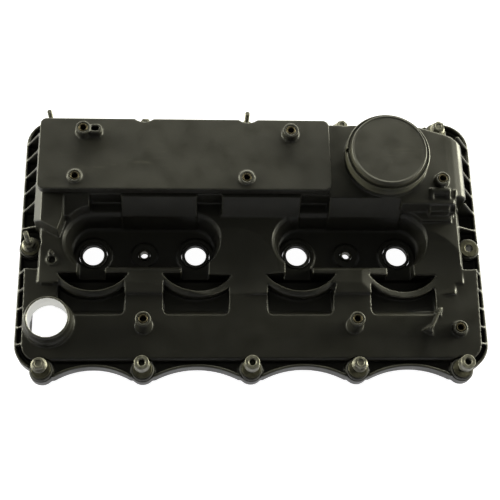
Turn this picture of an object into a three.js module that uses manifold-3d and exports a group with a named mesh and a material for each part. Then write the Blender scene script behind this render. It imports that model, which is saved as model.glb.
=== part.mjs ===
// Rocker cover of a four-cylinder diesel head: a moulded plastic cover with a welded-on oil separator lid,
// a crankcase pressure valve, four injector wells, an oil filler neck, captive flange bolts and a gasket.
// Millimetres, +Z up, +X along the engine, +Y towards the separator side. Z = 0 is the gasket's underside.
import * as THREE from "three";
import { mergeVertices } from "three/addons/utils/BufferGeometryUtils.js";
import Module from "manifold-3d";

const wasm = await Module();
wasm.setup();

// ---------------------------------------------------------------- driving dimensions
const GAP = 0.3; // clearance between pieces that touch
const LARGE = 48; // sides of a round over 60 mm across
const FINE = 24; // sides of a middling round
const SMALL = 16; // sides of a small round
const COARSE = 12; // sides of a fastener

const FLANGE = {
  halfLength: 218.4,
  halfWidth: 123,
  cornerRadius: 26,
  bottom: 1.2,
  floor: 8,
  rim: 15,
  wall: 2.6,
  stripEdge: 129,
  bossRadius: 11.2,
  bossTop: 12,
  rearEdge: 132,
  rearRadius: 27,
};
const BOLT_ROW = 122; // distance of the front and rear bolt rows from the centre line
const FRONT_BOLTS = [-192.5, -101.5, -3, 94.5, 191.7];
const REAR_BOLTS = [-193, -102.7, -4, 90.5, 187];
const SIDE_BOLT = { x: 208.4, y: -3.4 };
const SCALLOP_DEPTH = 9.5; // how far the flange edge dips between two bosses

const INJECTORS = [-150.2, -53.7, 42.8, 139.3]; // one per cylinder, at the bore pitch
const INJECTOR_Y = -8.6;
const INJECTOR = { bore: 10, sealRadius: 13, bossRadius: 17.5, bossTop: 8 };
const CLAMP_STUDS = [-102.2, 90.4]; // the bolt between two injectors in each well
const CLAMP_Y = -8;

const WELLS = [
  { from: -149.5, to: -56.4 },
  { from: 46.5, to: 140.1 },
];
const WELL_Y = -1.4;
const WELL = { floor: 6, skin: 3.2 };
const BULGE = { shift: 1.8, y: -10.3, outer: 46, inner: 40.5, back: -33.5, floor: 3.4 };

const DECK = { front: -114, side: 211.3, edgeHeight: 19, edgeY: -96.4, slope: 0.13, back: -29 };
const MIDDLE = { top: 29, front: -42.6, left: -197.5, right: 196, side: 199.6 };
const REAR = { top: 49, front: 37, back: 111.5, side: 203.7, shoulder: 38, left: -196 };
const LID = { left: -199.8, right: 73, front: 37.4, back: 111, bottom: 49.3, top: 59, skin: 3, corner: 6 };
const VALVE = { x: 127.4, y: 74.8, foot: 39.5, housing: 38, bore: 33.5, seat: 10, port: 7, rim: 60 };
const FILLER = { x: -187.3, y: -79.2, bore: 18.2, outer: 20.4, foot: 23, rim: 36 };

const GROMMET = { bore: 5.1, neck: 8.7, head: 10.4, low: 2, shelf: FLANGE.bossTop + GAP, top: 15.6 };
const SLEEVE = { outer: 4.8, bore: 3.5, low: 1.2, collar: 8.6, collarLow: 15.9, top: 16.9 };

const COLOURS = {
  moulding: 0x1d1c19,
  lid: 0x22211d,
  rubber: 0x111111,
  steel: 0x8d8b84,
  brass: 0x9a8552,
  baffle: 0x2b2a26,
};

// ---------------------------------------------------------------- solids from three.js geometry
function solid(geometry) {
  const bare = geometry.index ? geometry : geometry.clone();
  bare.deleteAttribute("normal");
  bare.deleteAttribute("uv");
  const merged = mergeVertices(bare, 1e-4);
  const corners = [];
  for (let i = 0; i < merged.index.count; i += 3) {
    const [a, b, c] = [0, 1, 2].map((k) => merged.index.getX(i + k));
    if (a !== b && b !== c && c !== a) corners.push(a, b, c);
  }
  return new wasm.Manifold(
    new wasm.Mesh({
      numProp: 3,
      vertProperties: new Float32Array(merged.attributes.position.array),
      triVerts: new Uint32Array(corners),
    }),
  );
}

function join(pieces) {
  return pieces.reduce((sum, piece) => sum.add(piece));
}

function cut(base, tools) {
  return tools.reduce((left, tool) => left.subtract(tool), base);
}

// A plate with the given plan outline, between two heights.
function plate(outline, low, high) {
  const geometry = new THREE.ExtrudeGeometry(outline, {
    depth: high - low,
    bevelEnabled: false,
    curveSegments: 8,
  });
  return solid(geometry.translate(0, 0, low));
}

function polygon(points) {
  return new THREE.Shape(points.map(([u, v]) => new THREE.Vector2(u, v)));
}

function block(x0, x1, y0, y1, z0, z1) {
  const geometry = new THREE.BoxGeometry(x1 - x0, y1 - y0, z1 - z0);
  return solid(geometry.translate((x0 + x1) / 2, (y0 + y1) / 2, (z0 + z1) / 2));
}

function disc(x, y, radius, low, high, sides = SMALL) {
  return cone(x, y, radius, radius, low, high, sides);
}

function cone(x, y, lowRadius, highRadius, low, high, sides = SMALL) {
  const geometry = new THREE.CylinderGeometry(highRadius, lowRadius, high - low, sides);
  geometry.rotateX(Math.PI / 2);
  return solid(geometry.translate(x, y, (low + high) / 2));
}

// A round piece about a vertical axis; the profile runs anticlockwise as [radius, height].
function turned(profile, x, y, sides = FINE) {
  const points = profile.map(([radius, height]) => new THREE.Vector2(radius, height));
  points.push(points[0].clone());
  const geometry = new THREE.LatheGeometry(points, sides);
  geometry.rotateX(Math.PI / 2);
  return solid(geometry.translate(x, y, 0));
}

// A bar along X whose section is drawn as [y, z].
function barAlongX(section, x0, x1) {
  const geometry = new THREE.ExtrudeGeometry(polygon(section), { depth: x1 - x0, bevelEnabled: false });
  const basis = new THREE.Matrix4().makeBasis(
    new THREE.Vector3(0, 1, 0),
    new THREE.Vector3(0, 0, 1),
    new THREE.Vector3(1, 0, 0),
  );
  return solid(geometry.applyMatrix4(basis).translate(x0, 0, 0));
}

// A bar along Y whose section is drawn as [x, z].
function barAlongY(section, y0, y1) {
  const geometry = new THREE.ExtrudeGeometry(polygon(section), { depth: y1 - y0, bevelEnabled: false });
  const basis = new THREE.Matrix4().makeBasis(
    new THREE.Vector3(1, 0, 0),
    new THREE.Vector3(0, 0, 1),
    new THREE.Vector3(0, -1, 0),
  );
  return solid(geometry.applyMatrix4(basis).translate(0, y1, 0));
}

function roundedRectangle(x0, x1, y0, y1, radius) {
  const shape = new THREE.Shape();
  shape.moveTo(x0 + radius, y0);
  shape.absarc(x1 - radius, y0 + radius, radius, -Math.PI / 2, 0);
  shape.absarc(x1 - radius, y1 - radius, radius, 0, Math.PI / 2);
  shape.absarc(x0 + radius, y1 - radius, radius, Math.PI / 2, Math.PI);
  shape.absarc(x0 + radius, y0 + radius, radius, Math.PI, Math.PI * 1.5);
  return shape;
}

// ---------------------------------------------------------------- bolts round the flange
function boltPlaces() {
  const places = [];
  FRONT_BOLTS.forEach((x, i) => places.push({ name: `front_${i + 1}`, x, y: -BOLT_ROW }));
  REAR_BOLTS.forEach((x, i) => places.push({ name: `rear_${i + 1}`, x, y: BOLT_ROW }));
  places.push({ name: "left", x: -SIDE_BOLT.x, y: SIDE_BOLT.y });
  places.push({ name: "right", x: SIDE_BOLT.x, y: SIDE_BOLT.y });
  return places;
}

// ---------------------------------------------------------------- cover body: flange
// The rear corners stand further out than the front ones.
function rearCorners(inset, low, high) {
  const { halfLength, rearEdge, rearRadius } = FLANGE;
  const x = halfLength - inset;
  const y = rearEdge - inset;
  const radius = rearRadius - inset;
  const start = REAR_BOLTS[4] - 2;
  const front = 80;
  const right = new THREE.Shape();
  right.moveTo(start, front);
  right.lineTo(x, front);
  right.absarc(x - radius, y - radius, radius, 0, Math.PI / 2);
  right.lineTo(start, y);
  const left = new THREE.Shape();
  left.moveTo(-start, front);
  left.lineTo(-start, y);
  left.absarc(radius - x, y - radius, radius, Math.PI / 2, Math.PI);
  left.lineTo(-x, front);
  return join([plate(right, low, high), plate(left, low, high)]);
}

// The flange's scalloped plan, drawn in by `inset` from its outer face, between two heights.
function flangeSlab(inset, low, high) {
  const { halfLength, halfWidth, cornerRadius, stripEdge, bossRadius } = FLANGE;
  const outline = roundedRectangle(
    -halfLength + inset,
    halfLength - inset,
    -halfWidth + inset,
    halfWidth - inset,
    cornerRadius - inset,
  );
  let slab = plate(outline, low, high).add(rearCorners(inset, low, high));
  for (const [row, side] of [
    [FRONT_BOLTS, -1],
    [REAR_BOLTS, 1],
  ]) {
    const edge = side * (stripEdge - inset);
    const inner = side * (halfWidth - 10);
    slab = slab.add(block(row[0], row[4], Math.min(edge, inner), Math.max(edge, inner), low, high));
    for (let i = 0; i < row.length - 1; i += 1) {
      const half = (row[i + 1] - row[i]) / 2 - bossRadius;
      const radius = (half * half + SCALLOP_DEPTH * SCALLOP_DEPTH) / (2 * SCALLOP_DEPTH);
      const centre = side * (stripEdge - SCALLOP_DEPTH + radius);
      const middle = (row[i] + row[i + 1]) / 2;
      slab = slab.subtract(disc(middle, centre, radius + inset, low - 1, high + 1, LARGE));
    }
  }
  return slab;
}

function flange() {
  const { bottom, floor, rim, wall, bossRadius, bossTop } = FLANGE;
  const base = flangeSlab(0, bottom, floor);
  const wallRing = flangeSlab(0, floor - 1, rim).subtract(flangeSlab(wall, floor - 2, rim + 1));
  const bosses = boltPlaces().map(({ x, y }) => disc(x, y, bossRadius, bottom, bossTop, SMALL));
  return join([base, wallRing, ...bosses]);
}

// Height of the sloping front deck.
function deckHeight(y) {
  return DECK.edgeHeight + DECK.slope * (y - DECK.edgeY);
}

// Upright gusset plates that tie the flange wall to the side walls.
const REAR_GUSSETS = [105, 87.4, 69.1, 51.7, 34];
const FRONT_GUSSETS = [-29.5, -47, -64.8, -82.5, -98.5];
const MIDDLE_GUSSET = 15.4;
const GUSSET = 1.8;

function gusset(side, y, innerX, innerZ) {
  const { floor, rim, halfLength, wall } = FLANGE;
  const outerX = halfLength - wall / 2;
  const section = [
    [side * outerX, floor - 1],
    [side * outerX, rim],
    [side * innerX, innerZ],
    [side * (innerX - 3), innerZ],
    [side * (innerX - 3), floor - 1],
  ];
  return barAlongY(section, y - GUSSET / 2, y + GUSSET / 2);
}

function gussets() {
  const made = [];
  for (const side of [-1, 1]) {
    for (const y of REAR_GUSSETS) made.push(gusset(side, y, REAR.side, REAR.shoulder));
    made.push(gusset(side, MIDDLE_GUSSET, MIDDLE.side, 25));
    for (const y of FRONT_GUSSETS) made.push(gusset(side, y, DECK.side, deckHeight(y) - 0.6));
  }
  return made;
}

// ---------------------------------------------------------------- cover body: decks
function frontDeck() {
  const { front, side, back } = DECK;
  const plan = roundedRectangle(-side, side, front, back + 40, 15);
  const section = [
    [front, FLANGE.bottom],
    [back + 3, FLANGE.bottom],
    [back + 3, deckHeight(back + 3)],
    [front + 2, deckHeight(front + 2)],
    [front, deckHeight(front) - 2],
  ];
  const cropped = plate(plan, FLANGE.bottom, 60).intersect(barAlongX(section, -side, side));
  return cropped.subtract(block(-side - 1, side + 1, back, back + 20, 0, 60)).add(
    barAlongX(section, -MIDDLE.side + 2, MIDDLE.side - 2),
  );
}

// Shallow round dishes let into the top of the middle deck.
const DISHES = [
  { x: -19, y: -31, radius: 43, depth: 5.5 },
  { x: 152, y: -38, radius: 51, depth: 6 },
];

function dish(x, y, rimRadius, depth) {
  const radius = (rimRadius * rimRadius + depth * depth) / (2 * depth);
  const geometry = new THREE.SphereGeometry(radius, 36, 24);
  geometry.rotateX(Math.PI / 2);
  const ball = solid(geometry.translate(x, y, MIDDLE.top - depth + radius));
  return ball.intersect(disc(x, y, rimRadius + 2, MIDDLE.top - depth - 1, MIDDLE.top + 3, FINE));
}

function middleDeck() {
  const { top, front, left, right, side } = MIDDLE;
  const section = [
    [-side, FLANGE.bottom],
    [side, FLANGE.bottom],
    [side, 22],
    [right, top],
    [left, top],
    [-side, 25],
  ];
  const deck = barAlongY(section, front, 40);
  return cut(deck, DISHES.map(({ x, y, radius, depth }) => dish(x, y, radius, depth)));
}

// Flat steps at the front of the middle deck, one between each two injector wells.
function steps() {
  const slope = (y) => MIDDLE.top + (y - MIDDLE.front) * 0.19;
  const frontEdge = -52.9;
  const plans = [
    [-195.5, -184.6, -195.5, -184.6],
    [-118.5, -83.7, -122, -80.8],
    [-16.6, 12.6, -23.8, 16],
    [77.6, 110.4, 74.6, 114.8],
    [176.4, 189.2, 174.2, 189.2],
  ];
  return plans.map(([backLeft, backRight, frontLeft, frontRight], i) => {
    const edge = i === 0 ? -44 : frontEdge;
    const plan = polygon([
      [backLeft, -30],
      [backLeft, MIDDLE.front],
      [frontLeft, edge],
      [frontRight, edge],
      [backRight, MIDDLE.front],
      [backRight, -30],
    ]);
    const section = [
      [edge - 1, FLANGE.bottom],
      [-30, FLANGE.bottom],
      [-30, MIDDLE.top - 7],
      [MIDDLE.front, MIDDLE.top],
      [edge - 1, slope(edge - 1)],
    ];
    return plate(plan, FLANGE.bottom, 60).intersect(barAlongX(section, -210, 210));
  });
}

function rearProfile() {
  const { side, shoulder, left, top } = REAR;
  return [
    [-side, FLANGE.bottom],
    [side, FLANGE.bottom],
    [side, shoulder + 2],
    [side - 1.8, top - 4.5],
    [side - 5.5, top - 1.7],
    [side - 11, top - 0.4],
    [side - 17, top],
    [left, top],
    [-side, shoulder],
  ];
}

function rearDeck() {
  const { side, front, back } = REAR;
  const plan = polygon([
    [-side, front],
    [side, front],
    [side, 92],
    [193, 100],
    [164, back - 2],
    [150, back],
    [-side + 8, back],
    [-side, back - 8],
  ]);
  return plate(plan, FLANGE.bottom, 60).intersect(barAlongY(rearProfile(), 0, 120));
}

// The high ledge at the left end, with its V-shaped front.
function leftPlateau() {
  const plan = polygon([
    [-REAR.side, REAR.front + 2],
    [-REAR.side, 13.5],
    [-198, 11],
    [-180.4, 1.2],
    [-176.5, 14],
    [-176.5, REAR.front + 2],
  ]);
  return plate(plan, FLANGE.bottom, 60).intersect(barAlongY(rearProfile(), 0, 120));
}

// The slope between the plateau and the left well, and the shoulder right of the last tab.
function rearShoulders() {
  const ramp = barAlongX(
    [
      [REAR.front + 1, 20],
      [REAR.front + 1, REAR.top],
      [18, 41],
      [18, 20],
    ],
    -177,
    -152.6,
  );
  const right = barAlongX(
    [
      [REAR.front + 1, 20],
      [REAR.front + 1, REAR.top],
      [29, REAR.top],
      [26, 36],
      [18, 34],
      [18, 20],
    ],
    140,
    190,
  );
  return [ramp, right];
}

// Sloping tabs down the front of the rear deck.
const TABS = [
  [-123.1, -52.6],
  [-29.2, 44.9],
  [72.2, 141.5],
];

function tabs() {
  const section = [
    [REAR.front + 2, 12],
    [REAR.front + 2, REAR.top],
    [34.3, REAR.top],
    [22.8, MIDDLE.top],
    [18.4, WELL.floor + 1],
    [REAR.front - 8, WELL.floor + 1],
  ];
  return TABS.map(([x0, x1]) => barAlongX(section, x0, x1));
}

// ---------------------------------------------------------------- cover body: wells
// A trough with round ends, whose wall is given as [radius, height] from the bottom up.
function trough(profile, from, to) {
  const closed = [[0, profile[0][1]], ...profile, [0, profile.at(-1)[1]]];
  const ends = [from, to].map((x) => turned(closed, x, WELL_Y));
  const right = profile.map(([radius, height]) => [WELL_Y + radius, height]);
  const left = profile.map(([radius, height]) => [WELL_Y - radius, height]).reverse();
  return join([...ends, barAlongX([...right, ...left], from, to)]);
}

function wellShells() {
  const wall = [
    [19.5 + WELL.skin, 2.6],
    [23 + WELL.skin, 14],
    [27 + WELL.skin, MIDDLE.top - 8],
  ];
  return WELLS.map(({ from, to }) => trough(wall, from, to));
}

function wellVoids() {
  const wall = [
    [18.5, WELL.floor],
    [21, WELL.floor + 2],
    [25.4, MIDDLE.top - 4],
    [28.4, MIDDLE.top],
    [28.4, 60],
  ];
  return WELLS.map(({ from, to }) => trough(wall, from, to));
}

// The round wall that bulges forward round each injector, and the deep crescent behind it.
function bulges() {
  return INJECTORS.map((x) => {
    const drum = turned(
      [
        [0, FLANGE.bottom],
        [BULGE.outer, FLANGE.bottom],
        [BULGE.outer, 24.5],
        [BULGE.outer - 1.6, 27],
        [BULGE.inner + 1, MIDDLE.top],
        [0, MIDDLE.top],
      ],
      x + BULGE.shift,
      BULGE.y,
      LARGE,
    );
    return drum.intersect(block(x - 60, x + 60, -70, BULGE.back + 4, 0, 60));
  });
}

function crescents() {
  return INJECTORS.map((x) => {
    const bowl = turned(
      [
        [0, BULGE.floor],
        [BULGE.inner - 6, BULGE.floor],
        [BULGE.inner - 1.5, 18],
        [BULGE.inner, MIDDLE.top - 1],
        [BULGE.inner, 60],
        [0, 60],
      ],
      x + BULGE.shift,
      BULGE.y,
      LARGE,
    );
    return bowl.intersect(block(x - 60, x + 60, -70, BULGE.back, 0, 61));
  });
}

// The notch that opens each injector's boss into its crescent.
const NOSE = 12.8; // half the notch's width

function noses() {
  return INJECTORS.map((x) => block(x - NOSE, x + NOSE, BULGE.back - 1, -16, INJECTOR.bossTop, 60));
}

// The floor and side walls of each notch.
function noseShells() {
  const halfWidth = NOSE + 2.4;
  return INJECTORS.map((x) => block(x - halfWidth, x + halfWidth, BULGE.back - 1, -16, 2.6, 20));
}

// Ramps let into the front deck ahead of each bulge.
function deckRecesses() {
  return INJECTORS.map((x) => {
    const middle = x + BULGE.shift - 1;
    const ramp = barAlongX(
      [
        [-72, deckHeight(-72) - 0.9],
        [-72, 50],
        [-40, 50],
        [-40, 15.5],
        [-67.5, 16.8],
      ],
      middle - 30.5,
      middle + 30.5,
    );
    const plan = roundedRectangle(middle - 30.5, middle + 30.5, -72, -10, 6);
    return ramp.intersect(plate(plan, 0, 60));
  });
}

function recessFloors() {
  return INJECTORS.map((x) => block(x - 34, x + 36, -76, -42, 11.5, 18.5));
}

// ---------------------------------------------------------------- cover body: fittings
// Fixing bosses, each with a blind hole for a threaded insert.
const INSERT = { radius: 4.2, thread: 2.9, length: 9 };
const LID_BOSSES = [
  { name: "lid_corner", x: -158.8, y: 96.4, radius: 6.8, top: 68 },
  { name: "lid_left", x: -165.4, y: 50.2, radius: 6.4, top: 61 },
  { name: "lid_middle", x: -6.2, y: 49.5, radius: 7, top: 61 },
  { name: "lid_right", x: 35.7, y: 95.4, radius: 7.4, top: 68 },
];
const DECK_BOSSES = [
  { name: "rear_deck", x: 179.2, y: 51.8, radius: 6.8, top: 57, base: 40 },
  { name: "front_left", x: -100.8, y: -82.4, radius: 7.2, top: 42, base: 12 },
  { name: "front_right", x: 93.2, y: -82.4, radius: 7, top: 42, base: 12 },
  { name: "front_corner", x: 190.9, y: -85.8, radius: 6.8, top: 27, base: 8 },
];

function bossPosts(bosses, base) {
  const draft = 0.5;
  return bosses.map((boss) =>
    cone(boss.x, boss.y, boss.radius + draft, boss.radius, boss.base ?? base, boss.top),
  );
}

function insertHoles(bosses) {
  return bosses.map(({ x, y, top }) => disc(x, y, INSERT.radius + GAP, top - INSERT.length - 1, top + 1));
}

function threadedInsert({ x, y, top }) {
  const { radius, thread, length } = INSERT;
  return turned(
    [
      [thread, top - length],
      [radius, top - length],
      [radius, top + 0.1],
      [thread, top + 0.1],
    ],
    x,
    y,
    12,
  );
}

// The oil filler neck: a short tube with a flared foot and a bayonet notch.
function fillerNeck() {
  const { x, y, bore, outer, foot, rim } = FILLER;
  return turned(
    [
      [bore - 2, 14],
      [foot, 14],
      [foot, 22],
      [outer + 0.6, 27],
      [outer + 0.2, rim - 1],
      [outer - 0.8, rim],
      [bore - 2, rim],
    ],
    x,
    y,
  );
}

function fillerBore() {
  const { x, y, bore, rim } = FILLER;
  const notch = block(x - 6.5, x - 1, y + bore - 4.5, y + bore + 1.2, rim - 4, rim + 1);
  return join([disc(x, y, bore, 0, rim + 1, FINE), notch]);
}

function valveHousing() {
  const { x, y, foot, housing, rim } = VALVE;
  return turned(
    [
      [0, REAR.top - 2],
      [foot, REAR.top - 2],
      [foot, REAR.top + 4.6],
      [housing, REAR.top + 5.4],
      [housing, rim],
      [0, rim],
    ],
    x,
    y,
    LARGE,
  );
}

function valveBore() {
  const { x, y, bore, seat, port, rim } = VALVE;
  const chamber = turned(
    [
      [seat, REAR.top + 1],
      [bore, REAR.top + 1],
      [bore, rim + 2],
      [0, rim + 2],
      [0, REAR.top + 5],
      [seat, REAR.top + 5],
    ],
    x,
    y,
  );
  const ports = [0, 1, 2].map((i) => {
    const angle = (i * 2 * Math.PI) / 3;
    return disc(x + 23 * Math.cos(angle), y + 23 * Math.sin(angle), 4, REAR.top - 5, REAR.top + 3, 12);
  });
  return join([chamber, disc(x, y, port, REAR.top - 5, REAR.top + 7), ...ports]);
}

// The clip bracket at the right end: a sloping box with a sunk face, beside a thin upright plate.
function clipBracket() {
  const pad = barAlongX(
    [
      [44, 40],
      [44, 53],
      [41, 53.6],
      [23, 44],
      [22.4, 24],
      [34, 24],
    ],
    167.5,
    186.5,
  );
  const sunkFace = barAlongX(
    [
      [38.4, 49.6],
      [38.4, 60],
      [27, 60],
      [27, 43.4],
    ],
    170.5,
    183.5,
  );
  const bridge = block(186, 192.4, 24, 40, 30, 41);
  const plateSection = [
    [43, 40],
    [43, 53],
    [24, 44],
    [22.6, 24],
    [34, 24],
  ];
  return [pad.subtract(sunkFace), bridge, barAlongX(plateSection, 190.6, 192.4)];
}

// A thin upright rib on the front deck, between two three-cornered feet.
function harnessRib() {
  const rear = { x: 172.5, y: -69.7 };
  const front = { x: 163.1, y: -87.7 };
  const length = Math.hypot(rear.x - front.x, rear.y - front.y);
  const angle = Math.atan2(rear.y - front.y, rear.x - front.x);
  const wall = new THREE.BoxGeometry(length, 1.5, 16);
  wall.rotateZ(angle);
  wall.translate((rear.x + front.x) / 2, (rear.y + front.y) / 2, 26);
  const footAt = (x, y, size, turn, top) => {
    const foot = new THREE.CylinderGeometry(size * 0.6, size, top - 14, 3);
    foot.rotateX(Math.PI / 2);
    foot.rotateZ(turn);
    return solid(foot.translate(x, y, (top + 14) / 2));
  };
  return [solid(wall), footAt(front.x - 1, front.y + 1, 7.5, 0.6, 27), footAt(rear.x, rear.y, 5.5, 2.4, 31)];
}

// A tapered pin on the left ledge, and in front of it a low ring round a blind hole.
const PIN = { x: -187.2, y: -14.6, top: 35 };
const PIN_RING = { x: -186.1, y: -21.2, outer: 5, bore: 3.4, top: 30.2 };

function locatingPin() {
  const { x, y, outer, top } = PIN_RING;
  return [cone(PIN.x, PIN.y, 2.6, 1.9, 26, PIN.top, 12), disc(x, y, outer, 26, top, 16)];
}

// ---------------------------------------------------------------- cover body: hollows
function cavities() {
  const back = -31;
  const front = barAlongX(
    [
      [-104.3, 0],
      [back, 0],
      [back, deckHeight(back) - 8.2],
      [-104.3, deckHeight(-104) - 4],
    ],
    -204.3,
    204.3,
  );
  const narrow = block(-192, 192, -30, 36, 0, 18);
  const rearPlan = polygon([
    [-194, REAR.front + 3],
    [194, REAR.front + 3],
    [194, 90],
    [187, 97],
    [160, 104.3],
    [-194, 104.3],
  ]);
  return [front, narrow, plate(rearPlan, 0, REAR.top - 3)];
}

const GASKET = { halfWidth: 2.3, top: 4.8 };

// The gasket's centre line: a groove under the flange that passes inboard of the side bolts.
const GASKET_LINE = [
  [-207.4, -108.5],
  [207.4, -108.5],
  [207.4, -28],
  [195.6, -19],
  [195.6, 12],
  [200, 19],
  [200, 108.5],
  [-200, 108.5],
  [-200, 19],
  [-195.6, 12],
  [-195.6, -19],
  [-207.4, -28],
];

// A closed anticlockwise outline moved outwards by a distance, with mitred corners.
function grownOutline(points, distance) {
  const count = points.length;
  const unit = ([x0, y0], [x1, y1]) => {
    const length = Math.hypot(x1 - x0, y1 - y0);
    return [(x1 - x0) / length, (y1 - y0) / length];
  };
  const grown = points.map((point, i) => {
    const [ax, ay] = unit(points[(i + count - 1) % count], point);
    const [bx, by] = unit(point, points[(i + 1) % count]);
    const scale = distance / (1 + ax * bx + ay * by);
    return [point[0] + (ay + by) * scale, point[1] - (ax + bx) * scale];
  });
  return polygon(grown);
}

function gasketRing(halfWidth, low, high) {
  const outer = plate(grownOutline(GASKET_LINE, halfWidth), low, high);
  return outer.subtract(plate(grownOutline(GASKET_LINE, -halfWidth), low - 1, high + 1));
}

function lidWindow() {
  const rebate = block(-191, 67, 43.5, 102.5, REAR.top - 1.9, REAR.top + 2);
  const opening = block(-187.5, 63.5, 47, 99, REAR.top - 6, REAR.top);
  return [rebate, opening];
}

function coverBody() {
  const hollow = cut(
    join([flange(), frontDeck(), middleDeck(), ...steps(), rearDeck(), leftPlateau(), ...rearShoulders()]),
    cavities(),
  );
  const decks = cut(join([hollow, ...recessFloors()]), deckRecesses());
  const solids = join([
    decks,
    ...gussets(),
    ...wellShells(),
    ...bulges(),
    ...noseShells(),
    ...tabs(),
    fillerNeck(),
    valveHousing(),
    ...clipBracket(),
    ...harnessRib(),
    ...locatingPin(),
    ...bossPosts(DECK_BOSSES),
  ]);
  const opened = cut(solids, [
    ...wellVoids(),
    ...crescents(),
    ...noses(),
    ...lidWindow(),
    fillerBore(),
    valveBore(),
    gasketRing(GASKET.halfWidth + 0.4, 0, GASKET.top + 0.4),
    disc(PIN_RING.x, PIN_RING.y, PIN_RING.bore, 26, PIN_RING.top + 2, 12),
    ...insertHoles(DECK_BOSSES),
    ...boltPlaces().map(({ x, y }) => disc(x, y, GROMMET.neck + 0.5, 0, FLANGE.bossTop + 1, COARSE)),
    ...boltPlaces().map(({ x, y }) => disc(x, y, GROMMET.head + 0.8, FLANGE.bossTop, 60, SMALL)),
  ]);
  const injectorBosses = INJECTORS.map((x) =>
    disc(x, INJECTOR_Y, INJECTOR.bossRadius, 2.6, INJECTOR.bossTop, FINE),
  );
  const clampBosses = CLAMP_STUDS.map((x) => disc(x, CLAMP_Y, 12, 2.6, INJECTOR.bossTop, FINE));
  const tabSkirts = tabs().map((tab) => tab.intersect(block(-210, 210, 0, 36.8, 3, REAR.top)));
  const finished = join([opened, ...injectorBosses, ...clampBosses, ...tabSkirts]);
  return cut(finished, [
    ...INJECTORS.map((x) => disc(x, INJECTOR_Y, INJECTOR.sealRadius + GAP, 0, 20, FINE)),
    ...CLAMP_STUDS.map((x) => disc(x, CLAMP_Y, 5.8, 0, 20)),
  ]);
}

// ---------------------------------------------------------------- separator
const LID_DENT = 14.2; // radius of the clearance dents for two of the rear bolts
const SLOT_BOSS_TOP = 66.5;
const BAFFLE = { skin: 1.3, holes: 12, pitch: 21, first: -178, hole: 3.5, vane: 1.8 };
const VANES = [-150, -107, -64, -21, 22];

function separatorLid() {
  const { left, right, front, back, bottom, top, skin, corner } = LID;
  const shell = plate(roundedRectangle(left, right, front, back, corner), bottom, top);
  const inside = block(left + 4, right - 4, front + 4, back - 4, bottom - 1, top - skin);
  const dents = [REAR_BOLTS[1], REAR_BOLTS[2]].map((x) =>
    disc(x, BOLT_ROW, LID_DENT, bottom - 1, top + 1, FINE),
  );
  const slotBoss = block(-154, -141.6, 91.2, 100.8, top - 1, SLOT_BOSS_TOP);
  const slot = block(-151.4, -144.2, 93.9, 98.4, top + 1, SLOT_BOSS_TOP + 3);
  const posts = bossPosts(LID_BOSSES, top - 2);
  const holes = insertHoles(LID_BOSSES);
  const pads = LID_BOSSES.map((boss) => {
    const foot = Math.max(boss.top - INSERT.length - 4, bottom);
    return disc(boss.x, boss.y, boss.radius + 1, foot, top - 1);
  });
  return cut(join([cut(shell, [inside, ...dents]), slotBoss, ...posts, ...pads]), [slot, ...holes]);
}

// The baffle drops into the deck's rebate; its holes and vanes throw the oil out of the gas.
function separatorBaffle() {
  const low = REAR.top - 1.9 + GAP;
  const base = block(-190.6, 66.6, 43.9, 102.1, low, low + BAFFLE.skin);
  const holes = [];
  for (let i = 0; i < BAFFLE.holes; i += 1) {
    const x = BAFFLE.first + i * BAFFLE.pitch;
    const y = i % 2 ? 60 : 86;
    holes.push(disc(x, y, BAFFLE.hole, low - 1, low + 3, 10));
  }
  const half = BAFFLE.vane / 2;
  const vanes = VANES.map((x) => block(x - half, x + half, 50, 96, REAR.top - 24, low + 0.5));
  return cut(base, holes).add(join(vanes));
}

// ---------------------------------------------------------------- crankcase pressure valve
const CAP = { outer: 35.6, skin: 3, low: 61.9, top: 71 };
const RING = { inner: 36, outer: 39.8, low: 55, lip: 61.9, top: 65.4 };

function valveCap() {
  const { x, y } = VALVE;
  const { outer, skin, low, top } = CAP;
  return turned(
    [
      [outer - skin, low],
      [outer, low],
      [outer, top - 1.2],
      [outer - 1.2, top],
      [0, top],
      [0, top - 2.4],
      [outer - skin, top - 2.8],
    ],
    x,
    y,
    LARGE,
  );
}

function valveRing() {
  const { x, y, housing } = VALVE;
  const { inner, outer, low, top, lip } = RING;
  const ring = turned(
    [
      [inner, lip],
      [housing + GAP, lip],
      [housing + GAP, low],
      [outer, low],
      [outer, top - 1],
      [outer - 1, top],
      [inner, top],
    ],
    x,
    y,
    LARGE,
  );
  return ring.subtract(block(x - 43, x - 37.2, y - 1.5, y + 3.2, 61, 67));
}

// The rolling diaphragm, clamped under the cap and ring and carried by the valve plate.
function valveDiaphragm() {
  const { x, y, rim } = VALVE;
  return turned(
    [
      [11, 60.6],
      [16, 60.6],
      [20, 57.6],
      [26, 57.6],
      [29.6, rim + GAP],
      [37, rim + GAP],
      [37, rim + 1.5],
      [29, rim + 1.5],
      [25, 58.8],
      [21, 58.8],
      [17, 61.8],
      [11, 61.8],
    ],
    x,
    y,
    FINE,
  );
}

function valvePlate() {
  const { x, y } = VALVE;
  return turned(
    [
      [0, 58.1],
      [10.4, 58.1],
      [14.6, 59.2],
      [14.6, 60.3],
      [10.6, 60.3],
      [10.6, 63],
      [0, 63],
    ],
    x,
    y,
  );
}

// The coil spring that holds the valve open, round the seat tube.
const SPRING = { radius: 12.4, wire: 0.7, turns: 3.5, low: 51.1, high: 57.2 };

class CoilCurve extends THREE.Curve {
  getPoint(t, target = new THREE.Vector3()) {
    const angle = t * SPRING.turns * 2 * Math.PI;
    const height = SPRING.low + t * (SPRING.high - SPRING.low);
    return target.set(
      VALVE.x + SPRING.radius * Math.cos(angle),
      VALVE.y + SPRING.radius * Math.sin(angle),
      height,
    );
  }
}

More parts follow.
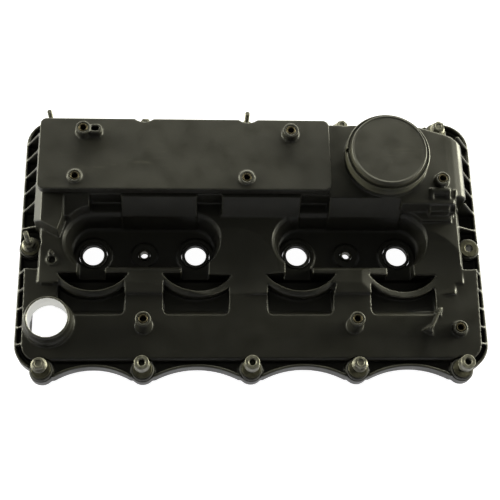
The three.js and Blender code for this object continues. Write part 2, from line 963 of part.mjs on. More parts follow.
function valveSpring() {
  const section = new THREE.Shape().absarc(0, 0, SPRING.wire, 0, Math.PI * 2);
  const geometry = new THREE.ExtrudeGeometry(section, {
    steps: 42,
    curveSegments: 3,
    bevelEnabled: false,
    extrudePath: new CoilCurve(),
  });
  return solid(geometry);
}

// ---------------------------------------------------------------- seals, grommets and fasteners
function injectorSeal(x) {
  const { bore, sealRadius, bossTop } = INJECTOR;
  return turned(
    [
      [bore + 0.8, 1.4],
      [sealRadius, 1.4],
      [sealRadius, bossTop + 0.2],
      [sealRadius - 0.8, bossTop + 1],
      [bore, bossTop + 1],
      [bore, bossTop - 1.5],
    ],
    x,
    INJECTOR_Y,
  );
}

function clampSleeve(x) {
  return turned(
    [
      [3.5, 1.4],
      [5.5, 1.4],
      [5.5, 9],
      [3.5, 9],
    ],
    x,
    CLAMP_Y,
    SMALL,
  );
}

function grommet({ x, y }) {
  const { bore, neck, head, low, shelf, top } = GROMMET;
  return turned(
    [
      [bore, low],
      [neck, low],
      [neck, shelf],
      [head, shelf],
      [head, top - 0.8],
      [head - 1, top],
      [bore, top],
    ],
    x,
    y,
    COARSE,
  );
}

function boltSleeve({ x, y }) {
  const { outer, bore, low, collar, collarLow, top } = SLEEVE;
  return turned(
    [
      [bore, low],
      [outer, low],
      [outer, collarLow],
      [collar, collarLow],
      [collar, top],
      [bore, top],
    ],
    x,
    y,
    12,
  );
}

const BOLT = { shank: 3, tip: 0.2, flangeRadius: 7.2, acrossCorners: 11.3 };
const STUD = { radius: 2.3, top: 51 };

function hexagon(x, y, low, high) {
  return disc(x, y, BOLT.acrossCorners / 2, low, high, 6);
}

function boltShank(x, y, seat) {
  const { shank, tip } = BOLT;
  return turned(
    [
      [0, tip],
      [shank - 0.8, tip],
      [shank, tip + 0.9],
      [shank, seat + 1],
      [0, seat + 1],
    ],
    x,
    y,
    8,
  );
}

function boltFlange(x, y, seat) {
  const { flangeRadius } = BOLT;
  return turned(
    [
      [0, seat],
      [flangeRadius, seat],
      [flangeRadius, seat + 1],
      [flangeRadius - 2, seat + 2.2],
      [0, seat + 2.2],
    ],
    x,
    y,
    COARSE,
  );
}

function hexBolt({ x, y }, seat) {
  return join([boltShank(x, y, seat), boltFlange(x, y, seat), hexagon(x, y, seat + 1, seat + 7)]);
}

// A bolt whose round head is tapped for a second, smaller screw.
function tappedBolt({ x, y }, seat) {
  const head = cone(x, y, 7.2, 6.8, seat + 1, seat + 9, COARSE);
  const thread = disc(x, y, 3.4, seat + 1.5, seat + 12, 8);
  return join([boltShank(x, y, seat), boltFlange(x, y, seat), head]).subtract(thread);
}

// A bolt with a stud above its hexagon, on which a bracket or cable clip is fixed.
function studBolt({ x, y }, seat) {
  const stud = cone(x, y, STUD.radius, STUD.radius, seat + 6, STUD.top, 8);
  return join([boltShank(x, y, seat), boltFlange(x, y, seat), hexagon(x, y, seat + 1, seat + 6.5), stud]);
}

// Each bolt's kind, and how far it stands up out of its sleeve at rest.
const BOLTS = {
  front_1: { make: hexBolt, lift: 13 },
  front_2: { make: tappedBolt, lift: 13 },
  front_3: { make: tappedBolt, lift: 13 },
  front_4: { make: hexBolt, lift: 13 },
  front_5: { make: tappedBolt, lift: 13 },
  rear_1: { make: studBolt, lift: 4 },
  rear_2: { make: hexBolt, lift: 5.5 },
  rear_3: { make: studBolt, lift: 4 },
  rear_4: { make: hexBolt, lift: 5.5 },
  rear_5: { make: hexBolt, lift: 5.5 },
  left: { make: studBolt, lift: 4 },
};

// ---------------------------------------------------------------- the assembly
const LOOKS = {
  moulding: new THREE.MeshStandardMaterial({ color: COLOURS.moulding, roughness: 0.62, metalness: 0 }),
  lid: new THREE.MeshStandardMaterial({ color: COLOURS.lid, roughness: 0.66, metalness: 0 }),
  rubber: new THREE.MeshStandardMaterial({ color: COLOURS.rubber, roughness: 0.8, metalness: 0 }),
  steel: new THREE.MeshStandardMaterial({ color: COLOURS.steel, roughness: 0.38, metalness: 0.9 }),
  brass: new THREE.MeshStandardMaterial({ color: COLOURS.brass, roughness: 0.42, metalness: 0.9 }),
  baffle: new THREE.MeshStandardMaterial({ color: COLOURS.baffle, roughness: 0.7, metalness: 0 }),
};

const cover = new THREE.Group();

function addPiece(name, piece, look) {
  const mesh = piece.getMesh();
  const geometry = new THREE.BufferGeometry();
  geometry.setAttribute("position", new THREE.BufferAttribute(mesh.vertProperties, mesh.numProp));
  geometry.setIndex(new THREE.BufferAttribute(mesh.triVerts, 1));
  geometry.computeVertexNormals();
  const part = new THREE.Mesh(geometry, LOOKS[look]);
  part.name = name;
  cover.add(part);
}

addPiece("cover_body", coverBody(), "moulding");
addPiece("separator_lid", separatorLid(), "lid");
addPiece("separator_baffle", separatorBaffle(), "baffle");
addPiece("valve_cap", valveCap(), "lid");
addPiece("valve_retaining_ring", valveRing(), "moulding");
addPiece("valve_diaphragm", valveDiaphragm(), "rubber");
addPiece("valve_plate", valvePlate(), "steel");
addPiece("valve_spring", valveSpring(), "steel");
addPiece("perimeter_gasket", gasketRing(GASKET.halfWidth, 0, GASKET.top), "rubber");
INJECTORS.forEach((x, i) => addPiece(`injector_seal_${i + 1}`, injectorSeal(x), "rubber"));
CLAMP_STUDS.forEach((x, i) => addPiece(`clamp_sleeve_${i + 1}`, clampSleeve(x), "steel"));
for (const boss of [...LID_BOSSES, ...DECK_BOSSES]) {
  addPiece(`insert_${boss.name}`, threadedInsert(boss), "brass");
}
for (const place of boltPlaces()) {
  addPiece(`grommet_${place.name}`, grommet(place), "rubber");
  addPiece(`sleeve_${place.name}`, boltSleeve(place), "steel");
  const bolt = BOLTS[place.name];
  if (bolt) addPiece(`bolt_${place.name}`, bolt.make(place, SLEEVE.top + bolt.lift), "steel");
}

export default cover;
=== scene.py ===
"""Looks for the moulded rocker cover: finer meshes, materials, floor, light and camera.

Shapes are drawn in millimetres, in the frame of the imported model, and scaled to metres when
a mesh is made. Z = 0 is the underside of the gasket.
"""

import math

import bmesh
import bpy
from mathutils import Matrix, Vector


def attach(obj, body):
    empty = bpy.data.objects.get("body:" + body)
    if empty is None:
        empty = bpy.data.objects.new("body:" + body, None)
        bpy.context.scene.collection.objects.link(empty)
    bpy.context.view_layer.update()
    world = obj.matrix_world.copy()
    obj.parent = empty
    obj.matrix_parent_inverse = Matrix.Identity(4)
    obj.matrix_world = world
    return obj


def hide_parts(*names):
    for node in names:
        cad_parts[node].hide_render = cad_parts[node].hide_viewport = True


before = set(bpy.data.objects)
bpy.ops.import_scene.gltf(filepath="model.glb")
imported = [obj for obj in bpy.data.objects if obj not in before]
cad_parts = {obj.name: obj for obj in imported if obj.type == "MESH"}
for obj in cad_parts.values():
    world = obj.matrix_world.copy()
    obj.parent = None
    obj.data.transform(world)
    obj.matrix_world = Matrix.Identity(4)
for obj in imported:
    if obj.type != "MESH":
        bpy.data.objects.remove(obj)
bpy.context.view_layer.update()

MM = 0.001

# ---------------------------------------------------------------- dimensions, in millimetres
# X of the bolts in each row, from left to right; the side bolts mirror each other.
FRONT_BOLTS = [-192.5, -101.5, -3, 94.5, 191.7]
REAR_BOLTS = [-193, -102.7, -4, 90.5, 187]
BOLT_ROW = 122
SIDE_BOLT = (208.4, -3.4)

FLANGE_HALF_LENGTH = 218.4
FLANGE_HALF_WIDTH = 123
FLANGE_CORNER = 26
FLANGE_REAR_EDGE = 132
FLANGE_REAR_CORNER = 27
FLANGE_STRIP = 129
FLANGE_BOTTOM = 1.2
FLANGE_FLOOR = 8
FLANGE_RIM = 15
FLANGE_WALL = 2.6
SCALLOP_DEPTH = 9.5
BOSS_RADIUS = 11.2
BOSS_TOP = 12
BOSS_HOLE = 9.2

# X of the injectors and clamp bolts, and of the centres of each well's round ends.
INJECTORS = [-150.2, -53.7, 42.8, 139.3]
INJECTOR_Y = -8.6
CLAMP_BOLTS = [-102.2, 90.4]
CLAMP_Y = -8
WELLS = [(-149.5, -56.4), (46.5, 140.1)]
WELL_Y = -1.4
WELL_FLOOR_TOP = 8
CEILING = 2.8
DECK_TOP = 29
BULGE_SHIFT = 1.8
BULGE_Y = -10.3
BULGE_REACH = 60

# Radii of the holes and bosses in the wells.
INJECTOR_HOLE = 13.3
INJECTOR_BOSS = 17.5
CLAMP_BOSS = 12

# The valve housing and the filler neck: places, radii of their bores and heights.
VALVE = (127.4, 74.8)
VALVE_INNER = 34
FILLER = (-187.3, -79.2)
FILLER_BORE = 18.2
FILLER_FOOT = 14
FILLER_TOP = 36

# X from and to of the tabs; (x, y, rim radius, depth) of the dishes; (x, y, radius, top, foot)
# of the bosses on the cover and (x, y, radius, top) of those on the lid.
TABS = [(-123.1, -52.6), (-29.2, 44.9), (72.2, 141.5)]
DISHES = [(-19, -31, 43, 5.5), (152, -38, 51, 6)]
DECK_BOSSES = [
    (179.2, 51.8, 6.8, 57, 40),
    (-100.8, -82.4, 7.2, 42, 12),
    (93.2, -82.4, 7, 42, 12),
    (190.9, -85.8, 6.8, 27, 8),
]
LID_BOSSES = [
    (-158.8, 96.4, 6.8, 68),
    (-165.4, 50.2, 6.4, 61),
    (-6.2, 49.5, 7, 61),
    (35.7, 95.4, 7.4, 68),
]

LID_LEFT = -199.8
LID_RIGHT = 73
LID_FRONT = 37.4
LID_BACK = 111
LID_LOW = 49.3
LID_TOP = 59
LID_WALL = 4
LID_INNER_TOP = 56
LID_DENT = 14.2
INSERT_HOLE = 4.5
INSERT_DEPTH = 10

# Bolts: heights of the sleeves' tops, the bolts' tips and the studs' tops, then radii, then
# the length over which a thread runs out.
SLEEVE_TOP = 16.9
BOLT_TIP = 0.2
STUD_TOP = 51
SHANK_RADIUS = 2.75
HEXAGON_RADIUS = 5.65
THREAD_CREST = 3
THREAD_ROOT = 2.5
THREAD_END = 0.8

# Heights that the cutting tools reach down and up to.
UNDER = -1
OVER = 60

# The floor and the round wall.
FLOOR_Z = -0.6
WALL_RADIUS = 2600
WALL_HEIGHT = 1500
WALL_SIDES = 64

# The glow of the floor and wall, and where it fades out, in metres along Y.
TABLE_GLOW = 0.96
WALL_GLOW = 1.0
FADE_START = -0.25
FADE_END = -0.36

# Lights and camera: places in metres, lens and sensor in millimetres.
WARM = (1, 0.985, 0.76)
WORLD_GLOW = 0.05
AIM = (0, 0, 0.03)
CAMERA_PLACE = Vector((-0.05980, -0.38387, 0.96304))
CAMERA_TARGET = Vector((-0.00196, -0.00521, 0.015))
CAMERA_ROLL = math.radians(8.25)
CAMERA_LENS = 77.45
CAMERA_SENSOR = 36

# How finely round pieces are divided, and the grid that softens the mouldings.
ROUND = 96
WIDE_ROUND = 160
VOXEL = 0.8
FINE_VOXEL = 0.7


# ---------------------------------------------------------------- closed meshes
def piece_from(name, points, faces):
    """A new object with these corners, in millimetres, and faces."""
    mesh = bpy.data.meshes.new(name)
    mesh.from_pydata([[c * MM for c in p] for p in points], [], faces)
    mesh.update()
    made = bpy.data.objects.new(name, mesh)
    bpy.context.scene.collection.objects.link(made)
    return made


def turned(name, profile, x, y, sides=ROUND):
    """A round piece about a vertical axis, from a closed profile of (radius, height)."""
    points = []
    rings = []
    for radius, height in profile:
        if radius < 1e-6:
            rings.append([len(points)] * sides)
            points.append((x, y, height))
            continue
        start = len(points)
        for k in range(sides):
            angle = 2 * math.pi * k / sides
            points.append((x + radius * math.cos(angle), y + radius * math.sin(angle), height))
        rings.append(list(range(start, start + sides)))
    faces = []
    for i, ring in enumerate(rings):
        following = rings[(i + 1) % len(rings)]
        for k in range(sides):
            n = (k + 1) % sides
            corners = [ring[k], ring[n], following[n], following[k]]
            face = [c for j, c in enumerate(corners) if c != corners[j - 1]]
            if len(face) > 2:
                faces.append(face)
    return piece_from(name, points, faces)


def extruded(name, outline, place):
    """A closed bar: outline points at each end, put in space by place(u, v, end)."""
    count = len(outline)
    points = [place(u, v, end) for end in (0, 1) for u, v in outline]
    faces = [list(range(count))[::-1], list(range(count, 2 * count))]
    for i in range(count):
        n = (i + 1) % count
        faces.append([i, n, count + n, count + i])
    made = piece_from(name, points, faces)
    tidy = bmesh.new()
    tidy.from_mesh(made.data)
    bmesh.ops.recalc_face_normals(tidy, faces=tidy.faces)
    tidy.to_mesh(made.data)
    tidy.free()
    return made


def plate(name, outline, low, high):
    return extruded(name, outline, lambda u, v, end: (u, v, high if end else low))


def bar_along_x(name, section, x0, x1):
    return extruded(name, section, lambda u, v, end: (x1 if end else x0, u, v))


def block(name, x0, x1, y0, y1, z0, z1):
    return plate(name, [(x0, y0), (x1, y0), (x1, y1), (x0, y1)], z0, z1)


def disc(name, x, y, radius, low, high, sides=ROUND):
    return turned(name, [(0, low), (radius, low), (radius, high), (0, high)], x, y, sides)


def tube(name, x, y, inner, outer, low, high):
    """A plain ring between two radii."""
    return turned(name, [(inner, low), (outer, low), (outer, high), (inner, high)], x, y)


def arc(x, y, radius, start, end, steps=24):
    """Points along an arc, angles in degrees."""
    made = []
    for i in range(steps + 1):
        angle = math.radians(start + (end - start) * i / steps)
        made.append((x + radius * math.cos(angle), y + radius * math.sin(angle)))
    return made


def rounded_rectangle(x0, x1, y0, y1, radius):
    return (
        arc(x1 - radius, y0 + radius, radius, -90, 0)
        + arc(x1 - radius, y1 - radius, radius, 0, 90)
        + arc(x0 + radius, y1 - radius, radius, 90, 180)
        + arc(x0 + radius, y0 + radius, radius, 180, 270)
    )


def applied(piece):
    """Makes the modifiers on a piece permanent."""
    bpy.context.view_layer.update()
    graph = bpy.context.evaluated_depsgraph_get()
    mesh = bpy.data.meshes.new_from_object(piece.evaluated_get(graph))
    piece.modifiers.clear()
    piece.data = mesh
    return piece


def combined(base, tool, operation):
    """base joined with, cut by or kept to tool; tool is used up."""
    step = base.modifiers.new("step", "BOOLEAN")
    step.object = tool
    step.operation = operation
    step.solver = "MANIFOLD"
    applied(base)
    bpy.data.objects.remove(tool)
    return base


def join(base, *tools):
    for tool in tools:
        combined(base, tool, "UNION")
    return base


def cut(base, *tools):
    for tool in tools:
        combined(base, tool, "DIFFERENCE")
    return base


def keep(base, tool):
    return combined(base, tool, "INTERSECT")


def moulded(piece, voxel, passes, share):
    """Rounds every edge a little, as on a moulding, and keeps only a share of the faces."""
    grid = piece.modifiers.new("grid", "REMESH")
    grid.mode = "VOXEL"
    grid.voxel_size = voxel * MM
    soft = piece.modifiers.new("soft", "SMOOTH")
    soft.factor = 0.5
    soft.iterations = passes
    applied(piece)
    if share < 1:
        thin = piece.modifiers.new("thin", "DECIMATE")
        thin.ratio = share
        applied(piece)
    shade_smooth(piece)
    return piece


def shade_smooth(piece):
    piece.data.polygons.foreach_set("use_smooth", [True] * len(piece.data.polygons))
    piece.data.update()


def bevelled(piece, width, segments, angle):
    """Rounds the sharp edges of a clean mesh."""
    edge = piece.modifiers.new("edge", "BEVEL")
    edge.width = width * MM
    edge.segments = segments
    edge.limit_method = "ANGLE"
    edge.angle_limit = math.radians(angle)
    edge.harden_normals = False
    applied(piece)
    shade_by_angle(piece, 40)
    return piece


def shade_by_angle(piece, degrees):
    """Smooth shading, but for edges sharper than this."""
    shade_smooth(piece)
    limit = math.radians(degrees)
    work = bmesh.new()
    work.from_mesh(piece.data)
    for line in work.edges:
        line.smooth = len(line.link_faces) == 2 and line.calc_face_angle(0) < limit
    work.to_mesh(piece.data)
    work.free()


def copy_of(node, name, flatten=0):
    """A new object with a CAD node's mesh, its corners welded and nearly flat edges removed."""
    made = bpy.data.objects.new(name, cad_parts[node].data.copy())
    bpy.context.scene.collection.objects.link(made)
    weld = bmesh.new()
    weld.from_mesh(made.data)
    bmesh.ops.remove_doubles(weld, verts=weld.verts, dist=1e-6)
    if flatten:
        bmesh.ops.dissolve_limit(weld, angle_limit=flatten, verts=weld.verts, edges=weld.edges)
    weld.to_mesh(made.data)
    weld.free()
    return made


def finished(piece, material, body, slot, *nodes):
    """Gives a piece its material and body, and lets it stand for CAD nodes."""
    piece.data.materials.clear()
    piece.data.materials.append(material)
    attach(piece, body)
    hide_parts(*nodes)
    return piece


# ---------------------------------------------------------------- materials
class Nodes:
    """Short ways to add and link shader nodes."""

    def __init__(self, name):
        self.material = bpy.data.materials.new(name)
        self.material.use_nodes = True
        self.tree = self.material.node_tree
        self.shader = self.tree.nodes["Principled BSDF"]
        place = self.tree.nodes.new("ShaderNodeTexCoord")
        self.place = place.outputs["Object"]

    def link(self, source, target):
        self.tree.links.new(source, target)

    def stretched(self, scale):
        mapping = self.tree.nodes.new("ShaderNodeMapping")
        mapping.inputs["Scale"].default_value = scale
        self.link(self.place, mapping.inputs["Vector"])
        return mapping.outputs["Vector"]

    def noise(self, scale, detail=3.0, vector=None, roughness=0.5):
        made = self.tree.nodes.new("ShaderNodeTexNoise")
        made.inputs["Scale"].default_value = scale
        made.inputs["Detail"].default_value = detail
        made.inputs["Roughness"].default_value = roughness
        self.link(vector or self.place, made.inputs["Vector"])
        return made.outputs["Fac"]

    def ramp(self, source, low, high, dark=0.0, light=1.0):
        """Maps source from low..high to dark..light."""
        made = self.tree.nodes.new("ShaderNodeMapRange")
        made.inputs["From Min"].default_value = low
        made.inputs["From Max"].default_value = high
        made.inputs["To Min"].default_value = dark
        made.inputs["To Max"].default_value = light
        self.link(source, made.inputs["Value"])
        return made.outputs["Result"]

    def math(self, operation, a, b):
        made = self.tree.nodes.new("ShaderNodeMath")
        made.operation = operation
        for value, socket in ((a, made.inputs[0]), (b, made.inputs[1])):
            if isinstance(value, (int, float)):
                socket.default_value = value
            else:
                self.link(value, socket)
        return made.outputs[0]

    def blend(self, share, dark, light):
        """A colour between two, each a colour or a socket."""
        made = self.tree.nodes.new("ShaderNodeMix")
        made.data_type = "RGBA"
        self.link(share, made.inputs["Factor"])
        for value, socket in ((dark, made.inputs[6]), (light, made.inputs[7])):
            if isinstance(value, tuple):
                socket.default_value = (*value, 1)
            else:
                self.link(value, socket)
        return made.outputs[2]

    def bump(self, height, strength, distance, after=None):
        made = self.tree.nodes.new("ShaderNodeBump")
        made.inputs["Strength"].default_value = strength
        made.inputs["Distance"].default_value = distance
        self.link(height, made.inputs["Height"])
        if after is not None:
            self.link(after, made.inputs["Normal"])
        return made.outputs["Normal"]

    def edges(self, low, high):
        """1 on convex edges, 0 on flat ground."""
        geometry = self.tree.nodes.new("ShaderNodeNewGeometry")
        return self.ramp(geometry.outputs["Pointiness"], low, high)


def paler(colour, times):
    return tuple(min(1, c * times) for c in colour)


def moulded_plastic(name, dark, light, roughness, scuffs):
    """Glass-filled black plastic: a fine grain, cloudy tone, faint scuffs, and convex edges
    lightened as a painted highlight.
    """
    n = Nodes(name)
    cloud = n.ramp(n.noise(scale=22, detail=5), 0.3, 0.7)
    speck = n.ramp(n.noise(scale=1400, detail=2), 0.35, 0.75)
    tone = n.blend(n.math("MULTIPLY", cloud, 0.7), dark, light)
    # A pale tone for the grain's specks and for the painted highlight on convex edges.
    speck_and_edge_highlight = paler(light, 5)
    tone = n.blend(n.math("MULTIPLY", speck, 0.08), tone, speck_and_edge_highlight)
    streak = n.ramp(n.noise(9, 6, n.stretched((1, 4.5, 1)), 0.7), 0.56, 0.74)
    marks = n.ramp(n.noise(160, 4, n.stretched((0.3, 1.6, 1))), 0.52, 0.7)
    scuff = n.math("MULTIPLY", n.math("MULTIPLY", streak, marks), scuffs)
    tone = n.blend(scuff, tone, paler(light, 2.8))
    # Convex edges are lightened by pointiness: a painted highlight.
    tone = n.blend(n.math("MULTIPLY", n.edges(0.515, 0.6), 0.8), tone, speck_and_edge_highlight)
    n.link(tone, n.shader.inputs["Base Color"])
    gloss = n.ramp(n.noise(scale=55, detail=4), 0.3, 0.7, roughness - 0.07, roughness + 0.08)
    n.link(gloss, n.shader.inputs["Roughness"])
    grain = n.bump(n.noise(scale=1100, detail=3), 0.35, 0.00012)
    swell = n.bump(n.noise(scale=45, detail=2), 0.12, 0.0006, grain)
    n.link(swell, n.shader.inputs["Normal"])
    n.shader.inputs["Specular IOR Level"].default_value = 0.45
    return n.material


def elastomer(name):
    """Black rubber with a dusty bloom."""
    n = Nodes(name)
    cloud = n.ramp(n.noise(scale=90, detail=4), 0.3, 0.7)
    tone = n.blend(cloud, (0.016, 0.016, 0.015), (0.04, 0.039, 0.034))
    dust = n.ramp(n.noise(scale=700, detail=3), 0.5, 0.8, 0, 0.5)
    n.link(n.blend(dust, tone, (0.09, 0.086, 0.075)), n.shader.inputs["Base Color"])
    n.link(n.ramp(n.noise(scale=120, detail=3), 0.3, 0.7, 0.6, 0.8), n.shader.inputs["Roughness"])
    n.link(n.bump(n.noise(scale=900, detail=3), 0.4, 0.0001), n.shader.inputs["Normal"])
    return n.material


def plated_steel(name, dark, light, roughness):
    """Zinc-plated steel with fine machining marks and duller, greyer patches."""
    n = Nodes(name)
    patches = n.ramp(n.noise(scale=260, detail=5), 0.35, 0.68)
    tone = n.blend(patches, dark, light)
    grime = n.ramp(n.noise(scale=90, detail=5, roughness=0.7), 0.5, 0.72)
    tone = n.blend(n.math("MULTIPLY", grime, 0.7), tone, paler(dark, 0.35))
    n.link(tone, n.shader.inputs["Base Color"])
    n.shader.inputs["Metallic"].default_value = 0.85
    gloss = n.ramp(n.noise(scale=420, detail=4), 0.3, 0.7, roughness - 0.1, roughness + 0.12)
    n.link(gloss, n.shader.inputs["Roughness"])
    marks = n.bump(n.noise(700, 3, n.stretched((1, 1, 14))), 0.25, 0.00006)
    n.link(marks, n.shader.inputs["Normal"])
    return n.material


def painted_bright_wall(name):
    """Pale, metal-like colour for the filler neck's inner wall: painted brightness that makes it
    shine almost white.
    """
    n = Nodes(name)
    cloud = n.ramp(n.noise(scale=60, detail=4), 0.3, 0.7)
    n.link(n.blend(cloud, (0.58, 0.58, 0.55), (0.74, 0.74, 0.7)), n.shader.inputs["Base Color"])
    n.shader.inputs["Metallic"].default_value = 0.7
    n.link(n.ramp(n.noise(scale=60, detail=3), 0.3, 0.7, 0.36, 0.46), n.shader.inputs["Roughness"])
    return n.material


MOULDING = moulded_plastic(
    "moulding",
    dark=(0.008, 0.0078, 0.0055),
    light=(0.014, 0.0137, 0.0097),
    roughness=0.46,
    scuffs=0.25,
)
# The filler bore's pale, metal-like wall: painted brightness.
PAINTED_BRIGHT_BORE = painted_bright_wall("polished_bore")
LID = moulded_plastic(
    "lid",
    dark=(0.011, 0.0107, 0.0083),
    light=(0.018, 0.0176, 0.0137),
    roughness=0.5,
    scuffs=0.7,
)
BAFFLE = moulded_plastic(
    "baffle",
    dark=(0.03, 0.029, 0.025),
    light=(0.045, 0.043, 0.038),
    roughness=0.55,
    scuffs=0.3,
)
RUBBER = elastomer("rubber")
STEEL = plated_steel("sleeve_steel", (0.055, 0.052, 0.036), (0.1, 0.096, 0.068), 0.5)
BOLT_STEEL = plated_steel("bolt_steel", (0.1, 0.098, 0.08), (0.2, 0.195, 0.165), 0.5)
BRASS = plated_steel("insert_brass", (0.05, 0.042, 0.026), (0.11, 0.092, 0.055), 0.5)


# ---------------------------------------------------------------- cover body
def bolt_places():
    made = {}
    for i, (front, rear) in enumerate(zip(FRONT_BOLTS, REAR_BOLTS)):
        made[f"front_{i + 1}"] = (front, -BOLT_ROW)
        made[f"rear_{i + 1}"] = (rear, BOLT_ROW)
    made["left"] = (-SIDE_BOLT[0], SIDE_BOLT[1])
    made["right"] = SIDE_BOLT
    return made


def scallops():
    """(x, y, radius) of the round cut between each two bolts of a row."""
    made = []
    for row, side in ((FRONT_BOLTS, -1), (REAR_BOLTS, 1)):
        for a, b in zip(row, row[1:]):
            half = (b - a) / 2 - BOSS_RADIUS
            radius = (half**2 + SCALLOP_DEPTH**2) / (2 * SCALLOP_DEPTH)
            made.append(((a + b) / 2, side * (FLANGE_STRIP - SCALLOP_DEPTH + radius), radius))
    return made


def flange_slab(name, inset, low, high):
    """The flange's outline, drawn in by inset, as a plate."""
    x = FLANGE_HALF_LENGTH - inset
    y = FLANGE_HALF_WIDTH - inset
    slab = plate(name, rounded_rectangle(-x, x, -y, y, FLANGE_CORNER - inset), low, high)
    rear = FLANGE_REAR_EDGE - inset
    radius = FLANGE_REAR_CORNER - inset
    start = REAR_BOLTS[4] - 2
    rounding = arc(x - radius, rear - radius, radius, 0, 90)
    corner = [(start, 80), (x, 80), *rounding, (start, rear)]
    join(slab, plate("corner", corner, low, high))
    join(slab, plate("corner", [(-u, v) for u, v in reversed(corner)], low, high))
    for row, side in ((FRONT_BOLTS, -1), (REAR_BOLTS, 1)):
        ys = sorted((side * (FLANGE_STRIP - inset), side * (FLANGE_HALF_WIDTH - 10)))
        join(slab, block("strip", row[0], row[4], ys[0], ys[1], low, high))
    for cx, cy, r in scallops():
        cut(slab, disc("scallop", cx, cy, r + inset, low - 1, high + 1, WIDE_ROUND))
    return slab


def flange_parts():
    """The wall round the flange's edge."""
    ring = flange_slab("ring", 0, FLANGE_FLOOR - 1, FLANGE_RIM)
    cut(ring, flange_slab("inner", FLANGE_WALL, FLANGE_FLOOR - 2, FLANGE_RIM + 1))
    return ring


def trough(profile, x0, x1):
    """A pill-shaped hollow, its wall given as (radius, height) from the bottom up."""
    closed = [(0, profile[0][1]), *profile, (0, profile[-1][1])]
    back = [(WELL_Y + r, z) for r, z in profile]
    front = [(WELL_Y - r, z) for r, z in reversed(profile)]
    section = back + front
    made = bar_along_x("trough", section, x0, x1)
    return join(made, turned("end", closed, x0, WELL_Y), turned("end", closed, x1, WELL_Y))


def well_cutter(x0, x1):
    """The space of a well: a trough less the tabs, kept clear of the crescents in front."""
    wall = [(21.05, WELL_FLOOR_TOP + 0.05), (25.4, DECK_TOP - 4), (28.4, DECK_TOP), (28.4, OVER)]
    tool = trough(wall, x0, x1)
    section = [
        (39, 2),
        (39, OVER + 1),
        (34.3, OVER + 1),
        (34.3, 49),
        (22.8, DECK_TOP),
        (18.3, 7),
        (18.3, 2),
    ]
    for a, b in TABS:
        cut(tool, bar_along_x("tab", section, a - 0.05, b + 0.05))
    cut(tool, block("front", x0 - BULGE_REACH, x1 + BULGE_REACH, -60, -29, 0, OVER + 1))
    return tool


def bulge_ring(x):
    """The outer wall of the bulge round an injector."""
    section = [
        (40.9, 2.4),
        (46, 2.4),
        (46, 24.5),
        (45.4, 26.2),
        (44.4, 27),
        (41.5, DECK_TOP),
        (40.9, DECK_TOP),
    ]
    ring = turned("bulge", section, x + BULGE_SHIFT, BULGE_Y, WIDE_ROUND)
    return keep(ring, block("front", x - BULGE_REACH, x + BULGE_REACH, -70, -31, 0, OVER))


def crescent_cutter(x):
    """The space of the crescent in front of an injector."""
    section = [(0, 3.4), (34.5, 3.4), (39, 18), (40.5, DECK_TOP - 1), (40.5, OVER), (0, OVER)]
    bowl = turned("crescent", section, x + BULGE_SHIFT, BULGE_Y, WIDE_ROUND)
    return keep(bowl, block("front", x - BULGE_REACH, x + BULGE_REACH, -70, -33.5, 0, OVER + 1))


def dish_cutter(x, y, rim, depth):
    """Part of a ball that leaves a dish of this rim radius and depth in the deck."""
    radius = (rim**2 + depth**2) / (2 * depth)
    bottom = DECK_TOP - depth
    steps = 32
    profile = [(0, bottom)]
    for i in range(1, steps + 1):
        angle = math.asin(min(1, (rim + 1) / radius)) * i / steps
        profile.append((radius * math.sin(angle), bottom + radius * (1 - math.cos(angle))))
    profile.append((0, profile[-1][1]))
    return turned("dish", profile, x, y)


def filler_neck():
    inner = 18.4
    neck = [
        (inner, FILLER_FOOT),
        (23, FILLER_FOOT),
        (23, 22),
        (22.4, 24),
        (21, 27),
        (20.6, FILLER_TOP - 1),
        (20, FILLER_TOP),
        (inner, FILLER_TOP),
    ]
    return turned("neck", neck, *FILLER)


def valve_housing():
    housing = [
        (VALVE_INNER, 47),
        (39.5, 47),
        (39.5, 53.2),
        (39, 53.9),
        (38, 54.4),
        (38, 60),
        (VALVE_INNER, 60),
    ]
    return turned("housing", housing, *VALVE, WIDE_ROUND)


def cover_body():
    """The CAD body with round features remade finer, then every edge softened."""
    body = copy_of("cover_body", "cover_moulding")
    join(body, flange_parts())
    for cx, cy, r in scallops():
        cut(body, disc("scallop", cx, cy, r, UNDER, FLANGE_RIM + 1, WIDE_ROUND))
    for x, y in bolt_places().values():
        join(body, tube("boss", x, y, BOSS_HOLE + 0.1, BOSS_RADIUS, FLANGE_BOTTOM, BOSS_TOP))
        cut(body, disc("hole", x, y, BOSS_HOLE, UNDER, BOSS_TOP + 1))
        cut(body, disc("space", x, y, BOSS_RADIUS, BOSS_TOP, OVER))
    for x, y, r, z, base in DECK_BOSSES:
        post = [(INSERT_HOLE + 0.1, base), (r + 0.5, base), (r, z), (INSERT_HOLE + 0.1, z)]
        join(body, turned("boss", post, x, y))
        cut(body, disc("hole", x, y, INSERT_HOLE, z - INSERT_DEPTH, z + 1))
    join(body, filler_neck())
    cut(body, disc("bore", *FILLER, FILLER_BORE, UNDER, FILLER_TOP + 1))
    join(body, valve_housing())
    for x in INJECTORS:
        join(body, bulge_ring(x))
        cut(body, crescent_cutter(x))
        inner = INJECTOR_HOLE + 0.1
        join(body, tube("boss", x, INJECTOR_Y, inner, INJECTOR_BOSS, CEILING, WELL_FLOOR_TOP))
        cut(body, disc("hole", x, INJECTOR_Y, INJECTOR_HOLE, UNDER, 20))
    for x in CLAMP_BOLTS:
        join(body, tube("boss", x, CLAMP_Y, CLAMP_BOSS / 2, CLAMP_BOSS, CEILING, WELL_FLOOR_TOP))
    for x0, x1 in WELLS:
        cut(body, well_cutter(x0, x1))
    cut(body, *[dish_cutter(*dish) for dish in DISHES])
    return moulded(body, VOXEL, passes=5, share=0.45)


